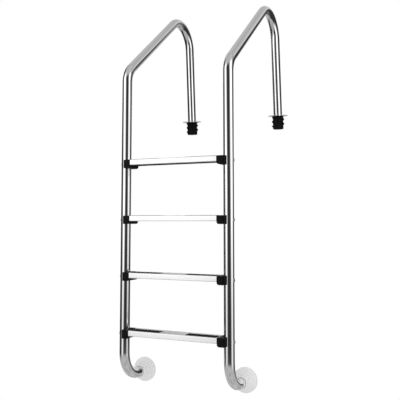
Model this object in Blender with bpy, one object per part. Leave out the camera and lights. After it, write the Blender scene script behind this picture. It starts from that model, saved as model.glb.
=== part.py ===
"""Pool ladder with two bent rails, four treads and two deck anchors.

Metres, +Z up.  The origin is midway between the two anchors at deck level:
+X is across the ladder, +Y runs from the water toward the deck.
Shapes are written in millimetres, each in its own axes, and placed afterwards.
"""
import math

import bmesh
import bpy
from mathutils import Matrix, Vector

MM = 0.001
GAP = 0.3                  # air left between neighbouring pieces
SIDES = {"left": -1, "right": 1}

# rails (round tube, centreline given in the Y-Z plane)
RAIL_PITCH = 500.0         # rail centre to rail centre
TUBE_R = 22.25
TUBE_WALL = 1.5
TUBE_SIDES = 20
REACH = 696.0              # upright axis to anchor axis at deck level
SHOULDER_Z = 129.0         # corner between upright and sloping handle
APEX_Y = -49.3             # corner between sloping handle and leg
APEX_Z = 637.8
FOOT_Z = -1240.5           # axis of the foot stub
FOOT_END_Y = -565.0
SHOULDER_BEND = 95.0       # centreline bend radii
APEX_BEND = 130.0
FOOT_BEND = 112.0
LEG_TAIL = 56.0            # leg below deck level, inside the socket
LEAN = math.atan2(-APEX_Y, APEX_Z)

# treads and their pads
TREAD_TOPS = (-277.8, -527.8, -777.8, -1027.8)
TREAD_HALF = 38.5          # half depth, along Y
TREAD_H = 24.5
TREAD_WALL = 1.5
LIP = 10.0                 # inward fold under each edge
GRIP_RIBS = (16.0, 22.5, 29.0)
GRIP_RIB_HALF = 1.8
GRIP_RIB_H = 0.7
PAD_INNER = 62.0           # pads leave the middle of the tread bare
PAD_OUTER = 206.0
PAD_FRONT = -35.0
PAD_BACK = 10.0
PAD_T = 0.6
PAD_LIFT = 0.15            # adhesive under the pad
PAD_CORNER = 3.0

# end caps, bolts, washers and nuts
CAP_FACE = 40.5            # rail axis to the cap's inboard face
CAP_HALF = 38.8
CAP_H = 37.0
CAP_OUTER = -3.0           # outboard edge, just short of the rail axis
SPIGOT = 18.0              # part of the cap that enters the tread
BOLT_DROP = 18.5           # bolt axis below the tread top
BOLT_R = 4.0
BOLT_LENGTH = 42.0         # rail axis to the tip of the bolt
HEAD_R = 7.4
HEAD_SEAT = TUBE_R + 1.0
HOLE_R = 4.5
WASHER_R = 7.9
WASHER_FACE = TUBE_R + 0.7
NUT_FLATS = 13.0
NUT_H = 6.5
NUT_POCKET = 7.5           # depth of the nut pocket behind the cap face

# deck anchors, in the leaning axes of the leg
SOCKET_R = 27.5
SOCKET_BORE = 22.65
SOCKET_TOP = -0.8
SOCKET_BOTTOM = -70.0
COLLAR_R = 31.0
SOCKET_FLOOR = 9.0
RIB_R = 33.2
RIB_PITCH = 24.0
RIB_TURNS = 2.36
RIB_STEPS = 38
RIB_START = math.radians(145)
RIB_START_Z = -2.4
BOSS_BACK = 36.6           # boss behind the leg that holds the wedge
BOSS_HALF = 9.5
SLOT_HALF = 6.5
WEDGE_SCREW_V = 28.0       # clamp screw axis behind the leg axis
WEDGE_TOP = -12.0
WEDGE_BOTTOM = -36.0
SCREW_TOP = -0.6
SCREW_TIP = -44.6
PLATE_R = 52.5

# feet, along the stub's axis from its end toward the wall
BUMPER_BORE = TUBE_R + 0.35
BUMPER_SCREW_R = 3.4
PLUG_DEPTH = 18.0
FOOT_SCREW_R = 3.0

COLOURS = {
    "polished_steel": (0.75, 0.75, 0.76, 1.0),
    "fastener_steel": (0.6, 0.6, 0.62, 1.0),
    "black_plastic": (0.02, 0.02, 0.022, 1.0),
    "black_pad": (0.015, 0.015, 0.016, 1.0),
    "white_bumper": (0.8, 0.8, 0.8, 1.0),
    "grey_plastic": (0.3, 0.3, 0.31, 1.0),
}
ROUGHNESS = {"polished_steel": 0.1, "fastener_steel": 0.3, "black_pad": 0.85}


# ---------------------------------------------------------------- shape helpers
def as_mesh(bm):
    bmesh.ops.recalc_face_normals(bm, faces=bm.faces)
    mesh = bpy.data.meshes.new("shape")
    bm.to_mesh(mesh)
    bm.free()
    return mesh


def rounded(points, radii, steps=3):
    """Round the corners of a closed 2-D outline."""
    out = []
    total = len(points)
    for i, corner in enumerate(points):
        radius = radii[i]
        if radius <= 0:
            out.append(tuple(corner))
            continue
        here = Vector(corner)
        back = (Vector(points[i - 1]) - here).normalized()
        ahead = (Vector(points[(i + 1) % total]) - here).normalized()
        half = math.acos(max(-1.0, min(1.0, back.dot(ahead)))) / 2
        centre = here + (back + ahead).normalized() * radius / math.sin(half)
        start = here + back * radius / math.tan(half) - centre
        side = 1.0 if back.x * ahead.y - back.y * ahead.x < 0 else -1.0
        for k in range(steps + 1):
            turn = Matrix.Rotation(side * (math.pi - 2 * half) * k / steps, 2)
            out.append(tuple(centre + turn @ start))
    return out


def rectangle(low, high):
    return [(low[0], low[1]), (high[0], low[1]), (high[0], high[1]), (low[0], high[1])]


def hexagon(flats, centre=(0.0, 0.0), turn=0.0):
    radius = flats / math.sqrt(3)
    angles = [turn + math.pi / 3 * i for i in range(6)]
    return [(centre[0] + radius * math.cos(a), centre[1] + radius * math.sin(a)) for a in angles]


def pushed(outline, low, high, axis="Z"):
    """Extrude a 2-D outline along X, Y or Z, from low to high."""
    def place(u, v):
        return {"X": (low, u, v), "Y": (u, low, v), "Z": (u, v, low)}[axis]

    along = Vector([1.0 if name == axis else 0.0 for name in "XYZ"])
    bm = bmesh.new()
    face = bm.faces.new([bm.verts.new(Vector(place(u, v)) * MM) for u, v in outline])
    grown = bmesh.ops.extrude_face_region(bm, geom=[face])
    far = [item for item in grown["geom"] if isinstance(item, bmesh.types.BMVert)]
    bmesh.ops.translate(bm, verts=far, vec=along * (high - low) * MM)
    return as_mesh(bm)


def turned(profile, steps):
    """Spin a closed outline of (radius, height) points about Z."""
    bm = bmesh.new()
    verts = [bm.verts.new((r * MM, 0, h * MM)) for r, h in profile]
    edges = [bm.edges.new(pair) for pair in zip(verts, verts[1:] + verts[:1])]
    bmesh.ops.spin(bm, geom=verts + edges, cent=(0, 0, 0), axis=(0, 0, 1),
                   angle=2 * math.pi, steps=steps, use_merge=True)
    bmesh.ops.remove_doubles(bm, verts=bm.verts, dist=1e-7)
    loose = [edge for edge in bm.edges if not edge.link_faces]
    bmesh.ops.delete(bm, geom=loose, context="EDGES")
    return as_mesh(bm)


def rod(radius, low, high, steps):
    """Plain round bar along Z."""
    return turned([(0, low), (radius, low), (radius, high), (0, high)], steps)


def skinned(rings, closed=False):
    """Bridge equal rings of points in turn; the ends are filled or the rings join up."""
    bm = bmesh.new()
    loops = [[bm.verts.new(Vector(p) * MM) for p in ring] for ring in rings]
    pairs = list(zip(loops, loops[1:]))
    if closed:
        pairs.append((loops[-1], loops[0]))
    else:
        bm.faces.new(loops[0])
        bm.faces.new(loops[-1])
    for near, far in pairs:
        for j in range(len(near)):
            k = (j + 1) % len(near)
            bm.faces.new((near[j], near[k], far[k], far[j]))
    return as_mesh(bm)


def moved(mesh, x=0.0, y=0.0, z=0.0):
    mesh.transform(Matrix.Translation((x * MM, y * MM, z * MM)))
    return mesh


def along_x(mesh):
    """Turn a shape made along Z so that it runs along X."""
    mesh.transform(Matrix.Rotation(math.pi / 2, 4, "Y"))
    return mesh


def combined(base, tool, operation):
    """Exact boolean of two meshes; both are used up."""
    pair = [bpy.data.objects.new("boolean", mesh) for mesh in (base, tool)]
    for obj in pair:
        bpy.context.scene.collection.objects.link(obj)
    cut = pair[0].modifiers.new("cut", "BOOLEAN")
    cut.operation = operation
    cut.object = pair[1]
    graph = bpy.context.evaluated_depsgraph_get()
    result = bpy.data.meshes.new_from_object(pair[0].evaluated_get(graph))
    for obj in pair:
        bpy.data.objects.remove(obj)
    for mesh in (base, tool):
        bpy.data.meshes.remove(mesh)
    bm = bmesh.new()
    bm.from_mesh(result)
    bpy.data.meshes.remove(result)
    bmesh.ops.remove_doubles(bm, verts=bm.verts, dist=1e-6)
    bmesh.ops.dissolve_degenerate(bm, edges=bm.edges, dist=1e-7)
    return as_mesh(bm)


# ---------------------------------------------------------------- scene helpers
def material(name):
    mat = bpy.data.materials.get(name)
    if mat is None:
        mat = bpy.data.materials.new(name)
        mat.use_nodes = True
        shader = mat.node_tree.nodes["Principled BSDF"]
        shader.inputs["Base Color"].default_value = COLOURS[name]
        shader.inputs["Metallic"].default_value = 1.0 if name.endswith("steel") else 0.0
        shader.inputs["Roughness"].default_value = ROUGHNESS.get(name, 0.5)
        mat.diffuse_color = COLOURS[name]
    return mat


def guide(name, location, rotation=(0, 0, 0)):
    """Empty that carries the pieces of one leg, foot or tread end."""
    empty = bpy.data.objects.new(name, None)
    empty.location = Vector(location) * MM
    empty.rotation_euler = rotation
    bpy.context.scene.collection.objects.link(empty)
    return empty


def node(name, mesh, mat, location=(0, 0, 0), rotation=(0, 0, 0), parent=None):
    """One named sub-part; copies of a repeated piece share their mesh."""
    if not mesh.materials:
        mesh.materials.append(material(mat))
    mesh.shade_smooth()
    mesh.set_sharp_from_angle(angle=math.radians(35))
    obj = bpy.data.objects.new(name, mesh)
    obj.location = Vector(location) * MM
    obj.rotation_euler = rotation
    obj.parent = parent
    bpy.context.scene.collection.objects.link(obj)
    return obj


# ---------------------------------------------------------------- rails
def rail_path():
    """Centreline of a rail in (y, z), from the foot stub to the leg's tail."""
    tail = (math.sin(LEAN) * LEG_TAIL, -math.cos(LEAN) * LEG_TAIL)
    corners = [(FOOT_END_Y, FOOT_Z), (-REACH, FOOT_Z), (-REACH, SHOULDER_Z), (APEX_Y, APEX_Z), tail]
    path = [corners[0]]
    for i, (radius, steps) in enumerate(((FOOT_BEND, 6), (SHOULDER_BEND, 4), (APEX_BEND, 9)), 1):
        path += rounded(corners[i - 1:i + 2], [0, radius, 0], steps)[1:-1]
    path.append(corners[-1])
    return [Vector(p) for p in path]


def tube_rings(path, radius):
    """Rings of a tube of that radius, square to its centreline."""
    rings = []
    for i, here in enumerate(path):
        before = path[max(i - 1, 0)]
        after = path[min(i + 1, len(path) - 1)]
        along = ((here - before).normalized() + (after - here).normalized()).normalized()
        across = Vector((-along.y, along.x))
        ring = []
        for k in range(TUBE_SIDES):
            angle = 2 * math.pi * k / TUBE_SIDES
            v = radius * math.sin(angle)
            ring.append((radius * math.cos(angle), here.x + across.x * v, here.y + across.y * v))
        rings.append(ring)
    return rings


def rail_mesh():
    """Hollow bent tube with a bolt hole through both walls at each tread."""
    path = rail_path()
    outside = tube_rings(path, TUBE_R)
    inside = tube_rings(path, TUBE_R - TUBE_WALL)
    mesh = skinned(outside + inside[::-1], closed=True)
    for top in TREAD_TOPS:
        drill = moved(along_x(rod(HOLE_R, -40, 40, 12)), y=-REACH, z=top - BOLT_DROP)
        mesh = combined(mesh, drill, "DIFFERENCE")
    return mesh


# ---------------------------------------------------------------- treads, front edge toward -Y
def tread_outline():
    """C-shaped section of the pressed tread with raised grip ribs, as (y, z)."""
    w, h, t = TREAD_HALF, TREAD_H, TREAD_WALL
    outer = [(w - LIP, -h), (w, -h), (w, 0), (-w, 0), (-w, -h), (-w + LIP, -h),
             (-w + LIP, -h + t), (-w + t, -h + t), (-w + t, -t), (w - t, -t),
             (w - t, -h + t), (w - LIP, -h + t)]
    shape = rounded(outer, [0, 3.2, 4.0, 4.0, 3.2, 0, 0, 1.7, 2.5, 2.5, 1.7, 0])
    last_flat = max(i for i, point in enumerate(shape) if point[1] > -1e-6 and point[0] > 0)
    foot, crest = GRIP_RIB_HALF, GRIP_RIB_HALF - GRIP_RIB_H
    ribs = []
    for centre in reversed(GRIP_RIBS):
        ribs += [(centre + foot, 0.0), (centre + crest, GRIP_RIB_H),
                 (centre - crest, GRIP_RIB_H), (centre - foot, 0.0)]
    return shape[:last_flat + 1] + ribs + shape[last_flat + 1:]


def tread_mesh():
    half = RAIL_PITCH / 2 - CAP_FACE - GAP
    return pushed(tread_outline(), -half, half, "X")


def pad_mesh():
    """Thin grip pad with rounded corners, centred on its own length."""
    half = (PAD_OUTER - PAD_INNER) / 2
    outline = rounded(rectangle((-half, PAD_FRONT), (half, PAD_BACK)), [PAD_CORNER] * 4)
    return pushed(outline, PAD_LIFT, PAD_LIFT + PAD_T)


# ---------------------------------------------------------------- tread ends, outward along +X
def cap_plan():
    """Cap seen from above: rounded block with a hollow that hugs the rail."""
    hollow = TUBE_R + GAP
    near = [(-CAP_FACE, -CAP_HALF), (CAP_OUTER, -CAP_HALF), (CAP_OUTER, -hollow)]
    far = [(x, -y) for x, y in reversed(near)]
    angles = [math.radians(-82 + 164 * i / 14) for i in range(15)]
    hug = [(-hollow * math.cos(a), hollow * math.sin(a)) for a in angles]
    radii = [1.5, 12.0, 0] + [0] * len(hug) + [0, 12.0, 1.5]
    return rounded(near + hug + far, radii, 5)


def cap_mesh():
    plan = pushed(cap_plan(), -CAP_H, 0)
    edge = CAP_OUTER + 0.4
    side = rounded([(-CAP_FACE, 5), (-CAP_FACE, -CAP_H), (edge, -CAP_H), (edge, 5)], [0, 11.0, 3.5, 0], 5)
    body = combined(plan, pushed(side, -60, 60, "Y"), "INTERSECT")
    reach = TREAD_HALF - TREAD_WALL - 1.4
    root = -CAP_FACE + 4.0
    tip = -CAP_FACE - SPIGOT
    spigot = pushed(rectangle((tip, -reach), (root, reach)), -TREAD_H + TREAD_WALL + 0.4, -TREAD_WALL - 0.4)
    body = combined(body, spigot, "UNION")
    bolt_way = moved(along_x(rod(HOLE_R, -70, 10, 12)), z=-BOLT_DROP)
    body = combined(body, bolt_way, "DIFFERENCE")
    pocket = pushed(hexagon(NUT_FLATS + 0.8, (0, -BOLT_DROP), math.pi / 6), -80, NUT_POCKET - CAP_FACE, "X")
    return combined(body, pocket, "DIFFERENCE")


# fasteners run along Z: the head is outside the rail at +Z, the nut inside the cap at -Z
def bolt_mesh():
    """Domed head with a hex key recess on a plain shank."""
    profile = [(0, HEAD_SEAT + 1.9), (3.4, HEAD_SEAT + 1.8), (5.8, HEAD_SEAT + 1.3),
               (HEAD_R, HEAD_SEAT + 0.5), (HEAD_R, HEAD_SEAT), (BOLT_R, HEAD_SEAT),
               (BOLT_R, -BOLT_LENGTH + 0.8), (BOLT_R - 0.8, -BOLT_LENGTH), (0, -BOLT_LENGTH)]
    key = pushed(hexagon(5.0), HEAD_SEAT + 0.4, HEAD_SEAT + 6)
    return combined(turned(profile, 16), key, "DIFFERENCE")


def washer_mesh():
    """Saddle washer: flat under the head, hollow against the tube."""
    ring = turned([(HOLE_R, 15), (WASHER_R, 15), (WASHER_R, WASHER_FACE), (HOLE_R, WASHER_FACE)], 16)
    tube = along_x(rod(TUBE_R + GAP, -30, 30, 40))
    return combined(ring, tube, "DIFFERENCE")


def nut_mesh():
    back = NUT_POCKET - CAP_FACE - GAP
    block = pushed(hexagon(NUT_FLATS), back - NUT_H, back)
    return combined(block, rod(BOLT_R + GAP, back - 9, back + 3, 12), "DIFFERENCE")


# ---------------------------------------------------------------- deck anchors, leg along Z
def rib_mesh():
    """Helical rib that keys the socket into concrete."""
    root = SOCKET_R - 1.0
    section = ((0.0, 6.4), (0.62, 3.8), (1.0, 1.5), (1.0, -1.5), (0.62, -3.8), (0.0, -6.4))
    rings = []
    for i in range(RIB_STEPS + 1):
        turns = RIB_TURNS * i / RIB_STEPS
        angle = RIB_START + 2 * math.pi * turns
        z = RIB_START_Z - RIB_PITCH * turns
        run_out = min(1.0, 0.3 + 0.2 * min(i, RIB_STEPS - i))
        ring = []
        for out, dz in section:
            r = root + out * run_out * (RIB_R - root)
            ring.append((r * math.cos(angle), r * math.sin(angle), z + dz * run_out))
        rings.append(ring)
    return skinned(rings)


def socket_mesh():
    floor = SOCKET_BOTTOM + SOCKET_FLOOR
    profile = [(SOCKET_BORE, SOCKET_TOP), (COLLAR_R, SOCKET_TOP), (COLLAR_R, SOCKET_TOP - 3.6),
               (SOCKET_R, SOCKET_TOP - 6.4), (SOCKET_R, SOCKET_BOTTOM + 6.0),
               (SOCKET_R - 1.6, SOCKET_BOTTOM + 2.2), (SOCKET_R - 5.0, SOCKET_BOTTOM),
               (5.0, SOCKET_BOTTOM), (5.0, floor), (SOCKET_BORE, floor)]
    level = rod(60, SOCKET_BOTTOM - 5, SOCKET_TOP - 0.5, 8)
    rib = combined(rib_mesh(), level, "INTERSECT")
    body = combined(turned(profile, 28), rib, "UNION")
    boss = pushed(rectangle((-BOSS_HALF, SOCKET_BORE + 1), (BOSS_HALF, BOSS_BACK)), -55, SOCKET_TOP)
    body = combined(body, boss, "UNION")
    slot = [(15, -8), (31.4, -8), (33.2, -50), (15, -50)]
    body = combined(body, pushed(slot, -SLOT_HALF, SLOT_HALF, "X"), "DIFFERENCE")
    body = combined(body, moved(rod(2.9, -53, 5, 12), y=WEDGE_SCREW_V), "DIFFERENCE")
    return combined(body, moved(rod(5.0, -3.4, 5, 16), y=WEDGE_SCREW_V), "DIFFERENCE")


# the wedge and its screw have their origin on the screw's axis
def wedge_mesh():
    """Tapered block between the leg and the slot."""
    front = TUBE_R + 0.45 - WEDGE_SCREW_V
    side = [(front, WEDGE_TOP), (3.2, WEDGE_TOP), (4.1, WEDGE_BOTTOM), (front, WEDGE_BOTTOM)]
    block = pushed(side, -SLOT_HALF + 0.5, SLOT_HALF - 0.5, "X")
    leg = moved(rod(TUBE_R + GAP, -60, 5, 48), y=-WEDGE_SCREW_V)
    block = combined(block, leg, "DIFFERENCE")
    return combined(block, rod(2.8, -60, 5, 12), "DIFFERENCE")


def clamp_screw_mesh():
    profile = [(0, SCREW_TOP), (4.0, SCREW_TOP), (4.6, SCREW_TOP - 0.6), (4.6, SCREW_TOP - 2.5),
               (2.5, SCREW_TOP - 2.5), (2.5, SCREW_TIP + 0.6), (2.0, SCREW_TIP), (0, SCREW_TIP)]
    key = pushed(hexagon(4.0), SCREW_TOP - 1.5, SCREW_TOP + 3)
    return combined(turned(profile, 14), key, "DIFFERENCE")


def plate_mesh():
    """Thin dished cover plate with a short collar round the leg."""
    upper = [(PLATE_R, 0.2), (PLATE_R, 1.2), (50.0, 2.4), (43.0, 3.4), (32.0, 4.2), (25.4, 4.6)]
    collar = [(24.4, 5.4), (24.0, 6.6), (22.7, 6.6), (22.7, 3.4)]
    under = [(32.0, 3.0), (43.0, 2.2), (49.6, 1.2), (50.6, 0.2)]
    return turned(upper + collar + under, 32)


# ---------------------------------------------------------------- feet, toward the wall along Z
def bumper_mesh():
    """Stepped hollow cone: a sleeve round the stub opens to a flat wall rim."""
    outer = [(BUMPER_BORE, -2.5), (26.2, -2.5), (27.0, 2), (31.0, 4.5), (31.0, 8.0),
             (36.0, 12), (36.0, 16), (42.0, 22.5), (42.0, 27), (48.0, 34), (48.0, 38.5),
             (54.4, 48), (54.4, 57.2), (53.4, 59.0)]
    inner = [(47.0, 59.0), (46.6, 50), (36.0, 29), (24.0, 11.5), (18.0, 7.5),
             (BUMPER_SCREW_R, 7.5), (BUMPER_SCREW_R, GAP), (BUMPER_BORE, GAP)]
    return turned(outer + inner, 28)


def plug_mesh():
    """Ring pressed into the stub for the foot screw to bite."""
    outer = TUBE_R - TUBE_WALL - 0.4
    shoulder = 3 - PLUG_DEPTH
    return turned([(3.3, -PLUG_DEPTH), (17.0, -PLUG_DEPTH), (outer, shoulder), (outer, -0.2), (3.3, -0.2)], 20)


def foot_screw_mesh():
    profile = [(0, 11.0), (4.0, 11.0), (6.2, 9.4), (6.4, 7.8), (FOOT_SCREW_R, 7.8), (FOOT_SCREW_R, -24),
               (FOOT_SCREW_R - 0.8, -25), (0, -25)]
    return combined(turned(profile, 14), pushed(hexagon(4.0), 9.2, 14), "DIFFERENCE")


# ---------------------------------------------------------------- assembly
def clear_scene():
    for obj in list(bpy.data.objects):
        bpy.data.objects.remove(obj, do_unlink=True)
    for mesh in list(bpy.data.meshes):
        bpy.data.meshes.remove(mesh)


def build_rails():
    mesh = rail_mesh()
    for side, sign in SIDES.items():
        node(side + "_rail", mesh, "polished_steel", (sign * RAIL_PITCH / 2, 0, 0))


def build_anchors():
    plate, socket, wedge, screw = plate_mesh(), socket_mesh(), wedge_mesh(), clamp_screw_mesh()
    for side, sign in SIDES.items():
        leg = guide(side + "_leg_axis", (sign * RAIL_PITCH / 2, 0, 0), (LEAN, 0, 0))
        behind = (0, WEDGE_SCREW_V, 0)
        node(side + "_cover_plate", plate, "polished_steel", parent=leg)
        node(side + "_socket", socket, "black_plastic", parent=leg)
        node(side + "_wedge", wedge, "fastener_steel", behind, parent=leg)
        node(side + "_clamp_screw", screw, "fastener_steel", behind, parent=leg)


def build_feet():
    bumper, plug, screw = bumper_mesh(), plug_mesh(), foot_screw_mesh()
    for side, sign in SIDES.items():
        stub = guide(side + "_stub_end", (sign * RAIL_PITCH / 2, FOOT_END_Y, FOOT_Z), (-math.pi / 2, 0, 0))
        node(side + "_bumper", bumper, "white_bumper", parent=stub)
        node(side + "_foot_plug", plug, "grey_plastic", parent=stub)
        node(side + "_foot_screw", screw, "fastener_steel", parent=stub)


def build_treads():
    tread, pad = tread_mesh(), pad_mesh()
    for number, top in enumerate(TREAD_TOPS, 1):
        name = "tread_%d" % number
        node(name, tread, "polished_steel", (0, -REACH, top))
        for side, sign in SIDES.items():
            middle = sign * (PAD_INNER + PAD_OUTER) / 2
            node("%s_pad_%s" % (name, side), pad, "black_pad", (middle, -REACH, top))


def build_tread_ends():
    cap, bolt, washer, nut = cap_mesh(), bolt_mesh(), washer_mesh(), nut_mesh()
    for number, top in enumerate(TREAD_TOPS, 1):
        for side, sign in SIDES.items():
            outward = 0.0 if sign > 0 else math.pi
            end = guide("tread_%d_end_%s" % (number, side), (sign * RAIL_PITCH / 2, -REACH, top),
                        (0, 0, outward))
            name = "tread_%d_%%s_%s" % (number, side)
            node(name % "cap", cap, "black_plastic", parent=end)
            for kind, mesh in (("bolt", bolt), ("washer", washer), ("nut", nut)):
                node(name % kind, mesh, "fastener_steel", (0, 0, -BOLT_DROP), (0, math.pi / 2, 0), end)


clear_scene()
build_rails()
build_anchors()
build_feet()
build_treads()
build_tread_ends()
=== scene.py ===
"""Pool ladder: the finished look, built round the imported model.

Shapes are written in millimetres in each piece's own axes and placed in metres.
+X is across the ladder, +Y runs from the water toward the deck, +Z is up.
"""

import math

import bmesh
import bpy
from mathutils import Matrix, Vector


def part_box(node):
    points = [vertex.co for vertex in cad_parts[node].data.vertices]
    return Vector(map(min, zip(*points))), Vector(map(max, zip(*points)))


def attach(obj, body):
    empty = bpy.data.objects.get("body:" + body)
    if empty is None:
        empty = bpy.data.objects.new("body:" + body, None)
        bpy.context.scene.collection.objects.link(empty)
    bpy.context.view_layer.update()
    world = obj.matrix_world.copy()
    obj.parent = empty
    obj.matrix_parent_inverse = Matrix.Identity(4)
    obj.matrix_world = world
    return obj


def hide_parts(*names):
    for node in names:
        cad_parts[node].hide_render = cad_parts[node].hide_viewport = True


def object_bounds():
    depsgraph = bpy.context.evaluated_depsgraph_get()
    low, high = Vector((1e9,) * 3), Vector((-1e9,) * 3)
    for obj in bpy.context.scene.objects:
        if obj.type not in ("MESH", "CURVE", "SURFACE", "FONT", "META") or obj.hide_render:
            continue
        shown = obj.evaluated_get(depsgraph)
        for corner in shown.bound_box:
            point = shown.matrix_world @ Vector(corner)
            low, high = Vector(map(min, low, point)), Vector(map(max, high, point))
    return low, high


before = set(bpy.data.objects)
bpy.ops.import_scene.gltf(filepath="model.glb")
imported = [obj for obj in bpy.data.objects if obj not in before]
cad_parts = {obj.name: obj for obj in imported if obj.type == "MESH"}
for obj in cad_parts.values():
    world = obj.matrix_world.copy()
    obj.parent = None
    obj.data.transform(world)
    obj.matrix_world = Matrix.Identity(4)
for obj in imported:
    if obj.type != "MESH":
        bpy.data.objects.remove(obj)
CAD_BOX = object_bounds()

MM = 0.001
SIDES = ("left", "right")
TREADS = (1, 2, 3, 4)
GAP = 0.3

# bent rails: corners and bends of the centreline
APEX_Y = -49.3
APEX_Z = 637.8
SHOULDER_Z = 129.0
FOOT_END_Y = -565.0
SHOULDER_BEND = 95.0
APEX_BEND = 130.0
FOOT_BEND = 112.0
LEG_TAIL = 56.0
TUBE_WALL = 1.5
TUBE_SIDES = 64
TUBE_RIM = 0.4
# radius and steps of each bend, from the foot up
BENDS = ((FOOT_BEND, 30), (SHOULDER_BEND, 20), (APEX_BEND, 44))

# treads, pads and end caps
TREAD_HALF = 38.5
TREAD_H = 24.5
TREAD_WALL = 1.5
LIP = 10.0
LIP_BEND = 3.2
TOP_BEND = 4.0
GRIP_RIBS = (16.0, 22.5, 29.0)
GRIP_RIB_HALF = 1.8
GRIP_RIB_H = 0.7
GRIP_RIB_STEPS = 10
PAD_INNER = 62.0
PAD_OUTER = 206.0
PAD_FRONT = -35.0
PAD_BACK = 10.0
PAD_T = 0.6
PAD_LIFT = 0.15
PAD_CORNER = 3.0
CAP_FACE = 40.5
CAP_HALF = 38.8
CAP_H = 37.0
CAP_OUTER = -3.0
CAP_NOSE = 11.0
CAP_ROUND = 12.0
CAP_HUG = 82.0
CAP_HUG_STEPS = 40
SPIGOT = 18.0
SPIGOT_PLAY = 1.4
BOLT_DROP = 18.5
BOLT_R = 4.0
BOLT_END = -42.0
BOLT_KEY = 5.0
HOLE_R = 4.5
NUT_FLATS = 13.0
NUT_POCKET = 7.5
NUT_T = 6.5
NUT_PLAY = 0.8
HEAD_R = 7.4
HEAD_SEAT = 1.0
HEAD_DOME = 1.4
WASHER_R = 7.9
WASHER_T = 0.7

# deck anchors
SOCKET_R = 27.5
SOCKET_BORE = 22.65
SOCKET_TOP = -0.8
SOCKET_BOTTOM = -70.0
COLLAR_R = 31.0
SOCKET_FLOOR = 9.0
RIB_R = 33.2
RIB_PITCH = 24.0
RIB_TURNS = 2.36
RIB_STEPS = 190
RIB_START = 145.0
RIB_TOP = -2.4
BOSS_R = 36.6
BOSS_HALF = 9.5
SLOT_HALF = 6.5
WEDGE_HALF = 6.0
WEDGE_SCREW_V = 28.0
SCREW_HOLE = 2.9
SCREW_WELL = 5.0
SCREW_R = 2.5
SCREW_HEAD = 4.6
SCREW_KEY = 4.0
SCREW_TOP = -0.6
SCREW_END = -44.6
PLATE_R = 52.5
PLATE_RISE = 3.0

# feet
SCREW_BORE = 3.3
PLUG_DEPTH = -18.0
FOOT_HEAD_R = 6.3

# light wall round the ladder, in metres, with three upright soft panels on it
WALL_R = 1.9
WALL_LOW = -2.4
WALL_TOP = 3.2
WALL_SIDES = 96
WALL_DIM = 0.03
SKY = 0.47
GROUND = 0.45
FLOOR_SIZE = 40.0
FLOOR_DROP = 0.03
CLOUDS = (0.78, 1.22)
HORIZON = 0.2
AMBIENT = (0.85, 1.3)
# each panel: degrees round from the front toward the right at its foot and at its head, half-width, level
PANELS = {"front": (-28, -41, 42, 1.4), "side": (91, 81, 40, 1.4), "back": (-168, -168, 36, 0.5)}
PANEL_CORE = 2.0
# heights between which the panels reach full width and level, and then lean
PANEL_RISE = (-1.3, -0.3)
PANEL_LEAN = (-0.3, 0.9)
LOW_WIDTH = 0.8
LOW_LEVEL = 0.62
# heights where the wall gives way to ground, and to sky at the front and behind
GROUND_EDGE = (-1.45, -2.1)
FRONT_EDGE = (1.2, 2.6)
BACK_EDGE = (1.0, 1.3)
BACK_FADE = (1.3, 2.2)
BACK_GLOW = 0.62
BEHIND = (108, 130)


# ---------------------------------------------------------------- places read from the frame
def rail_x(side):
    low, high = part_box(side + "_rail")
    return (low.x + high.x) / 2


def tube_radius():
    low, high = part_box("left_rail")
    return (high.x - low.x) / 2 / MM


TUBE_R = tube_radius()
UPRIGHT_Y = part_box("left_rail")[0].y / MM + TUBE_R
FOOT_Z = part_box("left_rail")[0].z / MM + TUBE_R
LEAN = math.atan2(-APEX_Y, APEX_Z)
OUTWARD = {"left": Matrix.Rotation(math.pi, 4, "Z"), "right": Matrix.Identity(4)}
ALONG_X = Matrix.Rotation(math.pi / 2, 4, "Y")
ALONG_Y = Matrix.Rotation(-math.pi / 2, 4, "X")


def tread_top(number):
    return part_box("tread_%d_cap_left" % number)[1].z


# ---------------------------------------------------------------- shape helpers
def rounded(points, radii, steps=8):
    """Round the corners of a closed 2-D outline."""
    out = []
    total = len(points)
    for i, corner in enumerate(points):
        radius = radii[i]
        if radius <= 0:
            out.append(tuple(corner))
            continue
        here = Vector(corner)
        back = (Vector(points[i - 1]) - here).normalized()
        ahead = (Vector(points[(i + 1) % total]) - here).normalized()
        half = math.acos(max(-1.0, min(1.0, back.dot(ahead)))) / 2
        centre = here + (back + ahead).normalized() * radius / math.sin(half)
        start = here + back * radius / math.tan(half) - centre
        side = 1.0 if back.x * ahead.y - back.y * ahead.x < 0 else -1.0
        for k in range(steps + 1):
            spin = side * (math.pi - 2 * half) * k / steps
            turn = Matrix.Rotation(spin, 2)
            out.append(tuple(centre + turn @ start))
    return out


def skin(rings, closed=False):
    """Mesh between equal rings of points; the ends are capped or the rings join up."""
    bm = bmesh.new()
    loops = [[bm.verts.new(Vector(p) * MM) for p in ring] for ring in rings]
    count = len(rings[0])
    spans = len(loops) if closed else len(loops) - 1
    for i in range(spans):
        near, far = loops[i], loops[(i + 1) % len(loops)]
        for j in range(count):
            k = (j + 1) % count
            bm.faces.new((near[j], near[k], far[k], far[j]))
    if not closed:
        bm.faces.new(loops[0])
        bm.faces.new(loops[-1])
    bmesh.ops.recalc_face_normals(bm, faces=bm.faces)
    return as_mesh(bm)


def as_mesh(bm):
    mesh = bpy.data.meshes.new("shape")
    bm.to_mesh(mesh)
    bm.free()
    return mesh


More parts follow.
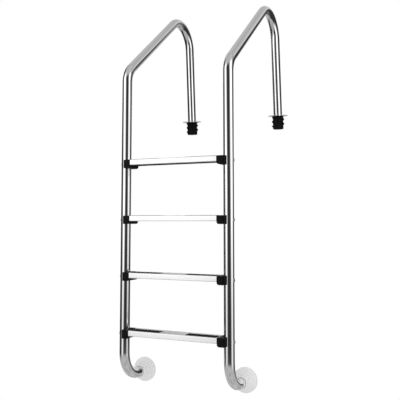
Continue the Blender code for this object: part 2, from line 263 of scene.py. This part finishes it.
def turned(profile, steps=72):
    """Turn a closed outline of (radius, height) points about Z."""
    bm = bmesh.new()
    verts = [bm.verts.new((r * MM, 0, h * MM)) for r, h in profile]
    edges = [bm.edges.new((a, b)) for a, b in zip(verts, verts[1:] + verts[:1])]
    bmesh.ops.spin(bm, geom=verts + edges, cent=(0, 0, 0), axis=(0, 0, 1),
                   angle=2 * math.pi, steps=steps, use_merge=True)
    bmesh.ops.remove_doubles(bm, verts=bm.verts, dist=1e-7)
    bmesh.ops.recalc_face_normals(bm, faces=bm.faces)
    return as_mesh(bm)


def pushed(outline, low, high, axis="Z"):
    """Push a 2-D outline along an axis, from low to high."""
    def place(u, v):
        return {"X": (low, u, v), "Y": (u, low, v), "Z": (u, v, low)}[axis]

    along = {"X": Vector((1, 0, 0)), "Y": Vector((0, 1, 0)), "Z": Vector((0, 0, 1))}[axis]
    bm = bmesh.new()
    face = bm.faces.new([bm.verts.new(Vector(place(u, v)) * MM) for u, v in outline])
    grown = bmesh.ops.extrude_face_region(bm, geom=[face])
    moved = [e for e in grown["geom"] if isinstance(e, bmesh.types.BMVert)]
    bmesh.ops.translate(bm, verts=moved, vec=along * (high - low) * MM)
    bmesh.ops.recalc_face_normals(bm, faces=bm.faces)
    return as_mesh(bm)


def rectangle(low, high):
    return [(low[0], low[1]), (high[0], low[1]), (high[0], high[1]), (low[0], high[1])]


def hexagon(flats, centre=(0.0, 0.0), turn=0.0):
    radius = flats / math.sqrt(3)
    return [(centre[0] + radius * math.cos(turn + math.pi / 3 * i),
             centre[1] + radius * math.sin(turn + math.pi / 3 * i)) for i in range(6)]


def moved(mesh, x=0.0, y=0.0, z=0.0):
    mesh.transform(Matrix.Translation((x * MM, y * MM, z * MM)))
    return mesh


def combined(base, tool, operation):
    """Exact boolean of two meshes."""
    pair = [bpy.data.objects.new("boolean", mesh) for mesh in (base, tool)]
    for obj in pair:
        bpy.context.scene.collection.objects.link(obj)
    cut = pair[0].modifiers.new("cut", "BOOLEAN")
    cut.operation = operation
    cut.object = pair[1]
    graph = bpy.context.evaluated_depsgraph_get()
    result = bpy.data.meshes.new_from_object(pair[0].evaluated_get(graph))
    for obj in pair:
        bpy.data.objects.remove(obj)
    return result


def piece(node, mesh, material, place, body="ladder", bevel=0.0, smooth=35.0):
    """One finished piece: shown in place of its node and moving with its body."""
    mesh = mesh.copy()
    mesh.materials.clear()
    mesh.materials.append(material)
    mesh.shade_smooth()
    mesh.set_sharp_from_angle(angle=math.radians(smooth))
    obj = bpy.data.objects.new(node + "_look", mesh)
    bpy.context.scene.collection.objects.link(obj)
    obj.matrix_world = place
    if bevel:
        soft = obj.modifiers.new("soft_edges", "BEVEL")
        soft.width = bevel * MM
        soft.segments = 3
        soft.limit_method = "ANGLE"
        soft.angle_limit = math.radians(40)
        soft.use_clamp_overlap = True
    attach(obj, body)
    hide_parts(node)
    return obj


def at(x, y, z):
    """A place from a rail's X in metres and Y, Z in millimetres."""
    return Matrix.Translation((x, y * MM, z * MM))


# ---------------------------------------------------------------- materials
class Graph:
    """Short names for building a node tree."""

    def __init__(self, tree):
        self.tree = tree

    def add(self, kind, **inputs):
        node = self.tree.nodes.new("ShaderNode" + kind)
        for key, value in inputs.items():
            self.put(node.inputs[key.replace("_", " ")], value)
        return node

    def put(self, socket, value):
        if isinstance(value, bpy.types.NodeSocket):
            self.tree.links.new(value, socket)
        else:
            socket.default_value = value

    def math(self, operation, a, b=0.0):
        node = self.tree.nodes.new("ShaderNodeMath")
        node.operation = operation
        self.put(node.inputs[0], a)
        self.put(node.inputs[1], b)
        return node.outputs[0]

    def smooth(self, value, start, end):
        """0 below start, 1 above end, eased between; start above end falls instead."""
        node = self.tree.nodes.new("ShaderNodeMapRange")
        node.interpolation_type = "SMOOTHSTEP"
        rising = start <= end
        self.put(node.inputs["Value"], value)
        node.inputs["From Min"].default_value = min(start, end)
        node.inputs["From Max"].default_value = max(start, end)
        node.inputs["To Min"].default_value = 0.0 if rising else 1.0
        node.inputs["To Max"].default_value = 1.0 if rising else 0.0
        return node.outputs["Result"]

    def range(self, value, low, high, new_low, new_high):
        node = self.tree.nodes.new("ShaderNodeMapRange")
        self.put(node.inputs["Value"], value)
        node.inputs["From Min"].default_value = low
        node.inputs["From Max"].default_value = high
        node.inputs["To Min"].default_value = new_low
        node.inputs["To Max"].default_value = new_high
        return node.outputs["Result"]

    def spread(self, noise, low, high):
        """A noise's usual run, 0.3 to 0.7, stretched from low to high."""
        return self.range(noise, 0.3, 0.7, low, high)

    def mix(self, factor, a, b):
        """a where factor is 0, b where it is 1, for plain numbers."""
        node = self.tree.nodes.new("ShaderNodeMix")
        self.put(node.inputs[0], factor)
        self.put(node.inputs[2], a)
        self.put(node.inputs[3], b)
        return node.outputs[0]

    def noise(self, vector, scale, detail=4.0, stretch=None):
        if stretch is not None:
            mapping = self.tree.nodes.new("ShaderNodeMapping")
            self.put(mapping.inputs["Vector"], vector)
            mapping.inputs["Scale"].default_value = stretch
            vector = mapping.outputs[0]
        node = self.tree.nodes.new("ShaderNodeTexNoise")
        self.put(node.inputs["Vector"], vector)
        node.inputs["Scale"].default_value = scale
        node.inputs["Detail"].default_value = detail
        return node.outputs["Fac"]

    def parts(self, vector):
        """The X, Y and Z of a vector."""
        return self.add("SeparateXYZ", Vector=vector).outputs

    def grey(self, tone):
        """A colour whose three channels are one number."""
        colour = self.add("CombineColor")
        for channel in colour.inputs:
            self.put(channel, tone)
        return colour.outputs[0]

    def bump(self, height, strength, distance):
        node = self.tree.nodes.new("ShaderNodeBump")
        node.inputs["Strength"].default_value = strength
        node.inputs["Distance"].default_value = distance
        self.put(node.inputs["Height"], height)
        return node.outputs["Normal"]


def new_material(name, slot, colour, metallic=0.0):
    """A node material and the record's slot that it stands for."""
    material = bpy.data.materials.new(name)
    material["slot"] = slot
    material.use_nodes = True
    graph = Graph(material.node_tree)
    shader = material.node_tree.nodes["Principled BSDF"]
    shader.inputs["Base Color"].default_value = colour
    shader.inputs["Metallic"].default_value = metallic
    coords = material.node_tree.nodes.new("ShaderNodeTexCoord").outputs["Object"]
    return material, graph, shader, coords


def polished_steel():
    """Mirror-polished stainless with faint handling haze."""
    made = new_material("mirror_steel", "polished_steel", (0.93, 0.93, 0.935, 1), 1.0)
    material, graph, shader, coords = made
    haze = graph.noise(coords, 14.0, 5.0)
    graph.put(shader.inputs["Roughness"], graph.spread(haze, 0.03, 0.08))
    fine = graph.noise(coords, 900.0, 2.0)
    graph.put(shader.inputs["Normal"], graph.bump(fine, 0.03, 0.0002))
    return material


def tread_steel():
    """Stainless sheet with a long satin grain across the ladder, with painted shade darkening the inside
    of the fold.
    """
    made = new_material("satin_steel", "polished_steel", (0.9, 0.9, 0.905, 1), 0.65)
    material, graph, shader, coords = made
    grain = graph.noise(coords, 60.0, 3.0, (0.4, 14.0, 14.0))
    graph.put(shader.inputs["Roughness"], graph.spread(grain, 0.16, 0.3))
    graph.put(shader.inputs["Normal"], graph.bump(grain, 0.05, 0.0002))
    # painted shade: the base colour drops from 0.9 to 0.2 on the channel's inner faces, below the top
    # sheet and above the lips
    depth, height = graph.parts(coords)[1:]
    wall = (TREAD_HALF - TREAD_WALL) * MM
    inside = graph.smooth(graph.math("ABSOLUTE", depth), wall + 0.0008, wall + 0.0002)
    below_top = graph.smooth(height, -0.0006, -0.0012)
    above_lip = graph.smooth(height, (0.1 - TREAD_H) * MM, (0.6 - TREAD_H) * MM)
    inside = graph.math("MULTIPLY", inside, graph.math("MULTIPLY", below_top, above_lip))
    graph.put(shader.inputs["Base Color"], graph.grey(graph.mix(inside, 0.9, 0.2)))
    return material


def fastener_steel():
    made = new_material("fasteners", "fastener_steel", (0.62, 0.62, 0.63, 1), 1.0)
    material, graph, shader, coords = made
    marks = graph.noise(coords, 500.0, 4.0)
    graph.put(shader.inputs["Roughness"], graph.spread(marks, 0.22, 0.4))
    graph.put(shader.inputs["Normal"], graph.bump(marks, 0.1, 0.0002))
    return material


def black_plastic():
    made = new_material("moulded_black", "black_plastic", (0.004, 0.004, 0.0042, 1))
    material, graph, shader, coords = made
    grain = graph.noise(coords, 1400.0, 3.0)
    wear = graph.noise(coords, 45.0, 5.0)
    shader.inputs["Specular IOR Level"].default_value = 0.1
    graph.put(shader.inputs["Roughness"], graph.spread(wear, 0.42, 0.58))
    graph.put(shader.inputs["Normal"], graph.bump(grain, 0.25, 0.0003))
    return material


def grip_pad():
    """Rubber pad with coarse bonded grit and a few brighter grains."""
    made = new_material("gritted_pad", "black_pad", (0.02, 0.02, 0.02, 1))
    material, graph, shader, coords = made
    grit = graph.noise(coords, 1100.0, 2.0)
    grains = graph.noise(coords, 2600.0, 1.0)
    tone = graph.mix(graph.smooth(grains, 0.68, 0.76), 0.006, 0.05)
    graph.put(shader.inputs["Base Color"], graph.grey(tone))
    shader.inputs["Specular IOR Level"].default_value = 0.1
    graph.put(shader.inputs["Roughness"], graph.spread(grit, 0.7, 0.95))
    graph.put(shader.inputs["Normal"], graph.bump(grit, 0.6, 0.0006))
    return material


def white_bumper():
    """Milky rubber with faint turned rings."""
    made = new_material("milky_rubber", "white_bumper", (0.7, 0.7, 0.7, 1))
    material, graph, shader, coords = made
    cloud = graph.noise(coords, 30.0, 4.0)
    graph.put(shader.inputs["Roughness"], graph.spread(cloud, 0.38, 0.5))
    shader.inputs["Specular IOR Level"].default_value = 0.15
    x, y = graph.parts(coords)[:2]
    squares = graph.math("ADD", graph.math("MULTIPLY", x, x), graph.math("MULTIPLY", y, y))
    radius = graph.math("SQRT", squares)
    ring = graph.math("PINGPONG", radius, 0.003)
    tone = graph.mix(graph.smooth(ring, 0.0004, 0.0016), 0.67, 0.74)
    graph.put(shader.inputs["Base Color"], graph.grey(tone))
    return material


def grey_plastic():
    made = new_material("moulded_grey", "grey_plastic", (0.3, 0.3, 0.31, 1))
    material, graph, shader, coords = made
    grain = graph.noise(coords, 900.0, 3.0)
    graph.put(shader.inputs["Roughness"], graph.spread(grain, 0.45, 0.6))
    graph.put(shader.inputs["Normal"], graph.bump(grain, 0.2, 0.0003))
    return material


# ---------------------------------------------------------------- rails
def bend(before, corner, after, radius, steps):
    """Centreline points round one corner."""
    return rounded([before, corner, after], [0, radius, 0], steps)[1:-1]


def rail_centreline():
    tail = Vector((math.sin(LEAN), -math.cos(LEAN))) * LEG_TAIL
    corners = [(FOOT_END_Y, FOOT_Z), (UPRIGHT_Y, FOOT_Z), (UPRIGHT_Y, SHOULDER_Z),
               (APEX_Y, APEX_Z), tuple(tail)]
    path = [corners[0]]
    for i, (radius, steps) in enumerate(BENDS, 1):
        path += bend(corners[i - 1], corners[i], corners[i + 1], radius, steps)
    path.append(corners[-1])
    return [Vector(p) for p in path]


def rail_rings(path, radius, inset):
    """Rings of a tube of that radius; the two end rings stand back by inset."""
    rings = []
    for i, here in enumerate(path):
        before = (here - path[i - 1]).normalized() if i else None
        after = (path[i + 1] - here).normalized() if i < len(path) - 1 else None
        along = (before + after).normalized() if before and after else (before or after)
        across = Vector((-along.y, along.x))
        centre = here
        if not before:
            centre = here + along * inset
        if not after:
            centre = here - along * inset
        ring = []
        for k in range(TUBE_SIDES):
            angle = 2 * math.pi * k / TUBE_SIDES
            v = radius * math.sin(angle)
            ring.append((radius * math.cos(angle), centre.x + across.x * v, centre.y + across.y * v))
        rings.append(ring)
    return rings


def rail_mesh():
    """Hollow tube with softened end rims."""
    path = rail_centreline()
    inner = TUBE_R - TUBE_WALL
    outside = rail_rings(path, TUBE_R, TUBE_RIM)
    inside = rail_rings(path, inner, TUBE_RIM)
    rim_out = rail_rings(path, TUBE_R - TUBE_RIM, 0.0)
    rim_in = rail_rings(path, inner + TUBE_RIM, 0.0)
    rings = outside + [rim_out[-1], rim_in[-1]] + inside[::-1] + [rim_in[0], rim_out[0]]
    return skin(rings, closed=True)


def build_rails(steel):
    mesh = rail_mesh()
    for side in SIDES:
        piece(side + "_rail", mesh, steel, at(rail_x(side), 0, 0))


# ---------------------------------------------------------------- treads
def tread_outline():
    """C-shaped section with three rounded grip ribs along the back of the top."""
    w, h, t = TREAD_HALF, TREAD_H, TREAD_WALL
    outer = [(w - LIP, -h), (w, -h), (w, 0), (-w, 0), (-w, -h), (-w + LIP, -h),
             (-w + LIP, -h + t), (-w + t, -h + t), (-w + t, -t), (w - t, -t),
             (w - t, -h + t), (w - LIP, -h + t)]
    outer_bends = [0, LIP_BEND, TOP_BEND, TOP_BEND, LIP_BEND, 0]
    inner_bends = [0, LIP_BEND - t, TOP_BEND - t, TOP_BEND - t, LIP_BEND - t, 0]
    shape = rounded(outer, outer_bends + inner_bends)
    last_flat = max(i for i, point in enumerate(shape) if point[1] > -1e-6 and point[0] > 0)
    ribs = []
    for centre in reversed(GRIP_RIBS):
        for k in range(GRIP_RIB_STEPS + 1):
            across = 1 - 2 * k / GRIP_RIB_STEPS
            rise = GRIP_RIB_H * (1 + math.cos(math.pi * across)) / 2
            ribs.append((centre + GRIP_RIB_HALF * across, rise))
    return shape[:last_flat + 1] + ribs + shape[last_flat + 1:]


def pad_mesh():
    """Thin grip pad with rounded corners, centred on its own length."""
    half = (PAD_OUTER - PAD_INNER) / 2
    outline = rounded(rectangle((-half, PAD_FRONT), (half, PAD_BACK)), [PAD_CORNER] * 4)
    return pushed(outline, PAD_LIFT, PAD_LIFT + PAD_T)


def build_treads(steel, grip):
    half = rail_x("right") / MM - CAP_FACE - GAP
    mesh, pad = pushed(tread_outline(), -half, half, "X"), pad_mesh()
    for number in TREADS:
        place = Matrix.Translation((0, UPRIGHT_Y * MM, tread_top(number)))
        piece("tread_%d" % number, mesh, steel, place)
        for side, sign in (("left", -1), ("right", 1)):
            spot = place @ Matrix.Translation((sign * (PAD_INNER + PAD_OUTER) / 2 * MM, 0, 0))
            piece("tread_%d_pad_%s" % (number, side), pad, grip, spot, bevel=0.25)


# ---------------------------------------------------------------- end caps and their bolts
def cap_plan():
    """Cap seen from above: rounded block with a hollow that hugs the rail."""
    hollow = TUBE_R + GAP
    near = [(-CAP_FACE, -CAP_HALF), (CAP_OUTER, -CAP_HALF), (CAP_OUTER, -hollow)]
    far = [(x, -y) for x, y in reversed(near)]
    angles = [math.radians(-CAP_HUG + 2 * CAP_HUG * i / CAP_HUG_STEPS) for i in range(CAP_HUG_STEPS + 1)]
    hug = [(-hollow * math.cos(a), hollow * math.sin(a)) for a in angles]
    radii = [1.5, CAP_ROUND, 0] + [0] * len(hug) + [0, CAP_ROUND, 1.5]
    return rounded(near + hug + far, radii, 10)


def cap_mesh():
    """Cap with its curved nose, its spigot in the tread, the bolt hole and the nut's pocket."""
    edge = CAP_OUTER + 0.4
    side = [(-CAP_FACE, 5), (-CAP_FACE, -CAP_H), (edge, -CAP_H), (edge, 5)]
    side = rounded(side, [0, CAP_NOSE, 3.5, 0], 10)
    body = combined(pushed(cap_plan(), -CAP_H, 0), pushed(side, -60, 60, "Y"), "INTERSECT")
    face = TREAD_HALF - TREAD_WALL - SPIGOT_PLAY
    tip = -CAP_FACE - SPIGOT
    spigot = pushed(rectangle((tip, -face), (-CAP_FACE + 4, face)), -TREAD_H + TREAD_WALL + 0.4,
                    -TREAD_WALL - 0.4)
    body = combined(body, spigot, "UNION")
    bolt = turned([(0, -70), (HOLE_R, -70), (HOLE_R, 10), (0, 10)], 32)
    bolt.transform(ALONG_X)
    body = combined(body, moved(bolt, z=-BOLT_DROP), "DIFFERENCE")
    pocket = hexagon(NUT_FLATS + NUT_PLAY, (0, -BOLT_DROP), math.pi / 6)
    return combined(body, pushed(pocket, -80, NUT_POCKET - CAP_FACE, "X"), "DIFFERENCE")


def bolt_mesh():
    """Low domed head with a hex key recess on a plain shank, head toward +Z."""
    seat = TUBE_R + HEAD_SEAT
    arc = [math.radians(90 * k / 10) for k in range(11)]
    dome = [(HEAD_R * math.cos(a), seat + 0.5 + HEAD_DOME * math.sin(a)) for a in arc]
    tail = [(0, BOLT_END), (BOLT_R - 0.8, BOLT_END), (BOLT_R, BOLT_END + 0.8), (BOLT_R, seat),
            (HEAD_R - 0.2, seat), (HEAD_R, seat + 0.2)]
    mesh = turned(tail + dome, 48)
    return combined(mesh, pushed(hexagon(BOLT_KEY), seat + 0.4, seat + 6), "DIFFERENCE")


def washer_mesh():
    """Flat under the head, hollowed to sit on the tube."""
    flat = TUBE_R + WASHER_T
    mesh = turned([(HOLE_R, 15), (WASHER_R, 15), (WASHER_R, flat - 0.2), (WASHER_R - 0.2, flat),
                   (HOLE_R, flat)], 48)
    tube = turned([(0, -30), (TUBE_R + GAP, -30), (TUBE_R + GAP, 30), (0, 30)], 160)
    tube.transform(ALONG_X)
    return combined(mesh, tube, "DIFFERENCE")


def nut_mesh():
    """Hexagon nut with its corners rounded off at both faces."""
    back = NUT_POCKET - CAP_FACE - GAP
    shape = pushed(hexagon(NUT_FLATS), back - NUT_T, back)
    bore = turned([(0, back - 9), (BOLT_R + GAP, back - 9), (BOLT_R + GAP, back + 3), (0, back + 3)], 32)
    corner = NUT_FLATS / math.sqrt(3)
    round_off = turned([(0, back - 7), (corner - 1.6, back - 7), (corner + 0.1, back - 5.7),
                        (corner + 0.1, back - 0.8), (corner - 1.6, back + 0.5), (0, back + 0.5)], 48)
    shape = combined(shape, round_off, "INTERSECT")
    return combined(shape, bore, "DIFFERENCE")


def build_tread_ends(plastic, steel):
    cap, bolt, washer, nut = cap_mesh(), bolt_mesh(), washer_mesh(), nut_mesh()
    for number in TREADS:
        for side in SIDES:
            corner = Matrix.Translation((rail_x(side), UPRIGHT_Y * MM, tread_top(number)))
            out = corner @ OUTWARD[side]
            axis = out @ Matrix.Translation((0, 0, -BOLT_DROP * MM)) @ ALONG_X
            name = "tread_%d_%%s_%s" % (number, side)
            piece(name % "cap", cap, plastic, out, bevel=0.6)
            piece(name % "bolt", bolt, steel, axis)
            piece(name % "washer", washer, steel, axis)
            piece(name % "nut", nut, steel, axis)


# ---------------------------------------------------------------- deck anchors, in the leg's axes
def rib_section():
    """Rounded ridge with wide flanks: (share of the rib's height, offset along the axis)."""
    upper = []
    for a in (math.radians(d) for d in (89, 70, 50, 32, 15)):
        upper.append((math.cos(a) ** 0.8, 6.4 * math.sin(a) ** 3 + 1.2 * math.sin(a)))
    return upper + [(out, -dz) for out, dz in reversed(upper)]


def rib_mesh():
    """Rounded helical rib, fading out at both ends."""
    root = SOCKET_R - 1.0
    section = rib_section()
    rings = []
    for i in range(RIB_STEPS + 1):
        angle = math.radians(RIB_START) + 2 * math.pi * RIB_TURNS * i / RIB_STEPS
        z = RIB_TOP - RIB_PITCH * RIB_TURNS * i / RIB_STEPS
        run_out = min(1.0, 0.3 + 0.04 * min(i, RIB_STEPS - i))
        ring = []
        for out, dz in section:
            r = root + out * run_out * (RIB_R - root)
            ring.append((r * math.cos(angle), r * math.sin(angle), z + dz * run_out * 0.84))
        rings.append(ring)
    return skin(rings)


def socket_mesh():
    """Ribbed cup with a collar, a drained floor, and a boss slotted for the wedge and its screw."""
    floor = SOCKET_BOTTOM + SOCKET_FLOOR
    outline = [(SOCKET_BORE, SOCKET_TOP), (COLLAR_R, SOCKET_TOP), (COLLAR_R, SOCKET_TOP - 3.6),
               (SOCKET_R, SOCKET_TOP - 6.4), (SOCKET_R, SOCKET_BOTTOM), (5.0, SOCKET_BOTTOM),
               (5.0, floor), (SOCKET_BORE, floor)]
    mesh = turned(rounded(outline, [0, 0.8, 0.8, 2.0, 5.0, 0.6, 0, 0], 6), 96)
    keep_low = SOCKET_BOTTOM - 5
    keep_top = SOCKET_TOP - 0.9
    keep = turned([(0, keep_low), (60, keep_low), (60, keep_top), (0, keep_top)], 8)
    mesh = combined(mesh, combined(rib_mesh(), keep, "INTERSECT"), "UNION")
    boss = pushed(rectangle((-BOSS_HALF, SOCKET_BORE + 1.0), (BOSS_HALF, BOSS_R)), -55, SOCKET_TOP)
    mesh = combined(mesh, boss, "UNION")
    slot = [(15, -8), (31.4, -8), (33.2, -50), (15, -50)]
    mesh = combined(mesh, pushed(slot, -SLOT_HALF, SLOT_HALF, "X"), "DIFFERENCE")
    hole = turned([(0, -53), (SCREW_HOLE, -53), (SCREW_HOLE, 5), (0, 5)], 24)
    mesh = combined(mesh, moved(hole, y=WEDGE_SCREW_V), "DIFFERENCE")
    well = turned([(0, -3.4), (SCREW_WELL, -3.4), (SCREW_WELL, 5), (0, 5)], 32)
    return combined(mesh, moved(well, y=WEDGE_SCREW_V), "DIFFERENCE")


def wedge_mesh():
    """Tapered wedge, hollowed to grip the leg, with a hole for its screw."""
    side = [(TUBE_R + 0.45, -12), (31.2, -12), (32.1, -36), (TUBE_R + 0.45, -36)]
    mesh = pushed(side, -WEDGE_HALF, WEDGE_HALF, "X")
    tube = turned([(0, -60), (TUBE_R + GAP, -60), (TUBE_R + GAP, 5), (0, 5)], 160)
    mesh = combined(mesh, tube, "DIFFERENCE")
    hole = turned([(0, -60), (2.8, -60), (2.8, 5), (0, 5)], 24)
    return combined(mesh, moved(hole, y=WEDGE_SCREW_V), "DIFFERENCE")


def clamp_screw_mesh():
    """Flat-headed screw with a hex key recess and a chamfered end."""
    top, under = SCREW_TOP, SCREW_TOP - 2.5
    profile = [(0, top), (SCREW_HEAD - 0.4, top), (SCREW_HEAD, top - 0.4), (SCREW_HEAD, under),
               (SCREW_R, under), (SCREW_R, SCREW_END + 0.6), (SCREW_R - 0.5, SCREW_END), (0, SCREW_END)]
    mesh = turned(profile, 32)
    return combined(mesh, pushed(hexagon(SCREW_KEY), top - 1.5, top + 3), "DIFFERENCE")


def plate_mesh():
    """Thin dished cover plate with a rolled rim and a short collar."""
    upper = [(PLATE_R, 0.5), (PLATE_R - 0.2, 1.1), (PLATE_R - 0.8, 1.6)]
    upper += [(r, 1.6 + PLATE_RISE * math.sin(math.pi / 2 * (PLATE_R - 0.8 - r) / (PLATE_R - 26.2)))
              for r in (50.0, 47.0, 43.0, 39.0, 35.0, 31.0, 28.0)]
    collar = [(25.6, 4.7), (24.6, 5.2), (24.2, 6.0), (24.0, 6.5), (23.6, 6.6), (22.9, 6.6), (22.7, 6.4)]
    under = [(22.7, 3.4), (28.0, 3.1), (32.0, 2.9), (36.0, 2.5), (40.0, 2.0), (44.0, 1.5), (47.0, 1.1),
             (50.0, 0.6), (50.8, 0.2), (PLATE_R - 0.2, 0.2)]
    return turned(upper + collar + under, 120)


def build_anchors(steel, plastic, fastener):
    plate, socket, wedge, screw = plate_mesh(), socket_mesh(), wedge_mesh(), clamp_screw_mesh()
    for side in SIDES:
        leg = at(rail_x(side), 0, 0) @ Matrix.Rotation(LEAN, 4, "X")
        screw_axis = leg @ Matrix.Translation((0, WEDGE_SCREW_V * MM, 0))
        piece(side + "_cover_plate", plate, steel, leg, side + "_cover_plate")
        piece(side + "_socket", socket, plastic, leg, side + "_socket", bevel=0.4)
        piece(side + "_wedge", wedge, fastener, leg, side + "_wedge", bevel=0.3)
        piece(side + "_clamp_screw", screw, fastener, screw_axis, side + "_clamp_screw")


# ---------------------------------------------------------------- feet, pointing at the wall
def bumper_mesh():
    """Stepped rubber cone that opens toward the wall, with a sleeve round the tube."""
    bore = TUBE_R + 0.35
    outline = [(bore, -2.5), (26.2, -2.5), (27.0, 2), (31.0, 4.5), (31.0, 8.0),
               (36.0, 12), (36.0, 16), (42.0, 22.5), (42.0, 27), (48.0, 34), (48.0, 38.5),
               (54.4, 48), (54.4, 59.0), (47.0, 59.0),
               (46.6, 50), (36.0, 29), (24.0, 11.5), (18.0, 7.5),
               (3.4, 7.5), (3.4, 0.3), (bore, 0.3)]
    soft = [0, 0.8, 0.8, 0.8, 0.8, 0.8, 0.8, 0.8, 0.8, 0.8, 0.8, 1.5, 1.5, 0.8, 3, 6, 6, 3, 0.4, 0, 0]
    return turned(rounded(outline, soft, 5), 96)


def plug_mesh():
    """Tapered plug inside the tube's end, bored for the foot screw."""
    outer = TUBE_R - TUBE_WALL - 0.4
    return turned([(SCREW_BORE, PLUG_DEPTH), (17.0, PLUG_DEPTH), (outer, PLUG_DEPTH + 3), (outer, -0.2),
                   (SCREW_BORE, -0.2)], 64)


def foot_screw_mesh():
    """Pan-headed screw with a hex key recess, head toward the wall."""
    arc = [math.radians(90 * k / 8) for k in range(9)]
    dome = [(FOOT_HEAD_R * math.cos(a), 8.3 + 2.7 * math.sin(a)) for a in arc]
    mesh = turned([(0, -25), (2.2, -25), (3.0, -24), (3.0, 7.8), (FOOT_HEAD_R, 7.8)] + dome, 40)
    return combined(mesh, pushed(hexagon(SCREW_KEY), 9.2, 14), "DIFFERENCE")


def build_feet(bumper, plastic, steel):
    rubber, plug, screw = bumper_mesh(), plug_mesh(), foot_screw_mesh()
    for side in SIDES:
        axis = at(rail_x(side), FOOT_END_Y, FOOT_Z) @ ALONG_Y
        piece(side + "_bumper", rubber, bumper, axis)
        piece(side + "_foot_plug", plug, plastic, axis)
        piece(side + "_foot_screw", screw, steel, axis)


# ---------------------------------------------------------------- studio
def studio_world():
    """White surround; polished steel sees a softly clouded sky and ground beyond the light wall."""
    world = bpy.data.worlds.new("studio")
    world.use_nodes = True
    bpy.context.scene.world = world
    graph = Graph(world.node_tree)
    background = world.node_tree.nodes["Background"]
    toward = world.node_tree.nodes.new("ShaderNodeTexCoord").outputs["Generated"]
    height = graph.parts(toward)[2]
    cloud = graph.noise(toward, 2.6, 1.0)
    mirrored = graph.range(height, -HORIZON, HORIZON, GROUND, SKY)
    mirrored = graph.math("MULTIPLY", mirrored, graph.spread(cloud, *CLOUDS))
    ambient = graph.range(height, -1, 1, *AMBIENT)
    rays = world.node_tree.nodes.new("ShaderNodeLightPath").outputs
    light = graph.mix(rays["Is Glossy Ray"], ambient, mirrored)
    graph.put(background.inputs["Strength"], graph.mix(rays["Is Camera Ray"], light, 1.0))
    background.inputs["Color"].default_value = (1, 1, 1, 1)


def panel_light(graph, turn, z, foot, head, half, level):
    """One soft panel: it leans from its foot to its head, and narrows and dims near the ground."""
    middle = graph.range(z, *PANEL_LEAN, foot, head)
    apart = graph.math("PINGPONG", graph.math("SUBTRACT", turn, middle), 180.0)
    apart = graph.math("DIVIDE", apart, graph.range(z, *PANEL_RISE, LOW_WIDTH, 1.0))
    glow = graph.math("MULTIPLY", graph.smooth(apart, half, PANEL_CORE), level)
    return graph.math("MULTIPLY", glow, graph.range(z, *PANEL_RISE, LOW_LEVEL, 1.0))


def wall_light(graph, coords):
    """Level on the light wall: dim between its panels, plain sky above and ground below."""
    x, y, z = graph.parts(coords)
    turn = graph.math("DEGREES", graph.math("ARCTAN2", x, graph.math("MULTIPLY", y, -1.0)))
    level = WALL_DIM
    for foot, head, half, bright in PANELS.values():
        level = graph.math("ADD", panel_light(graph, turn, z, foot, head, half, bright), level)
    front = graph.mix(graph.smooth(z, *FRONT_EDGE), level, SKY)
    fading = graph.range(z, *BACK_FADE, BACK_GLOW, SKY)
    back = graph.mix(graph.smooth(z, *BACK_EDGE), level, fading)
    behind = graph.smooth(graph.math("ABSOLUTE", turn), *BEHIND)
    return graph.mix(graph.smooth(z, *GROUND_EDGE), graph.mix(behind, front, back), GROUND)


def emission_material(name):
    """An empty node tree that glows, and the node that makes it glow."""
    material = bpy.data.materials.new(name)
    material.use_nodes = True
    material.node_tree.nodes.clear()
    graph = Graph(material.node_tree)
    return material, graph, graph.add("Emission")


def light_wall():
    """Round wall with soft panels on it, which only glossy rays see."""
    n = WALL_SIDES
    turns = [2 * math.pi * i / n for i in range(n)]
    rim = [(WALL_R * math.sin(a), WALL_R * math.cos(a)) for a in turns]
    rings = [[(x, y, z) for x, y in rim] for z in (WALL_LOW, WALL_TOP)]
    mesh = bpy.data.meshes.new("light_wall")
    faces = [(i, (i + 1) % n, n + (i + 1) % n, n + i) for i in range(n)]
    mesh.from_pydata(rings[0] + rings[1], [], faces)
    wall = bpy.data.objects.new("light_wall", mesh)
    bpy.context.scene.collection.objects.link(wall)
    wall.location.y = UPRIGHT_Y * MM
    material, graph, glow = emission_material("light_wall")
    coords = graph.add("TexCoord").outputs["Object"]
    graph.put(glow.inputs["Strength"], wall_light(graph, coords))
    out = graph.add("OutputMaterial")
    graph.put(out.inputs["Surface"], glow.outputs[0])
    mesh.materials.append(material)
    material.cycles.emission_sampling = "NONE"
    wall.visible_camera = False
    wall.visible_diffuse = False
    wall.visible_shadow = False
    wall.visible_transmission = False


def studio_floor():
    """Plain white floor under the feet, which only the camera sees."""
    bpy.ops.mesh.primitive_plane_add(size=FLOOR_SIZE, location=(0, 0, CAD_BOX[0][2] - FLOOR_DROP))
    floor = bpy.context.object
    floor.name = "floor"
    material, graph, white = emission_material("floor")
    clear = graph.add("BsdfTransparent")
    seen = graph.add("LightPath").outputs["Is Camera Ray"]
    blend = graph.add("MixShader")
    graph.put(blend.inputs[0], seen)
    graph.put(blend.inputs[1], clear.outputs[0])
    graph.put(blend.inputs[2], white.outputs[0])
    out = graph.add("OutputMaterial")
    graph.put(out.inputs["Surface"], blend.outputs[0])
    floor.data.materials.append(material)


def camera():
    """Camera in front, to the right and a little below the ladder's middle."""
    data = bpy.data.cameras.new("camera")
    data.sensor_width = 36.0
    data.lens = 56.0
    data.shift_y = -0.0846
    obj = bpy.data.objects.new("camera", data)
    bpy.context.scene.collection.objects.link(obj)
    obj.location = (1.22775, -3.11992, -0.55634)
    obj.rotation_euler = (math.radians(95.132), 0, math.radians(24.611))
    bpy.context.scene.camera = obj


# ---------------------------------------------------------------- build
def build():
    steel = polished_steel()
    fastener = fastener_steel()
    plastic = black_plastic()
    build_rails(steel)
    build_treads(tread_steel(), grip_pad())
    build_tread_ends(plastic, fastener)
    build_anchors(steel, plastic, fastener)
    build_feet(white_bumper(), grey_plastic(), fastener)
    studio_world()
    light_wall()
    studio_floor()
    camera()
    bpy.context.scene.view_settings.view_transform = "Standard"


build()
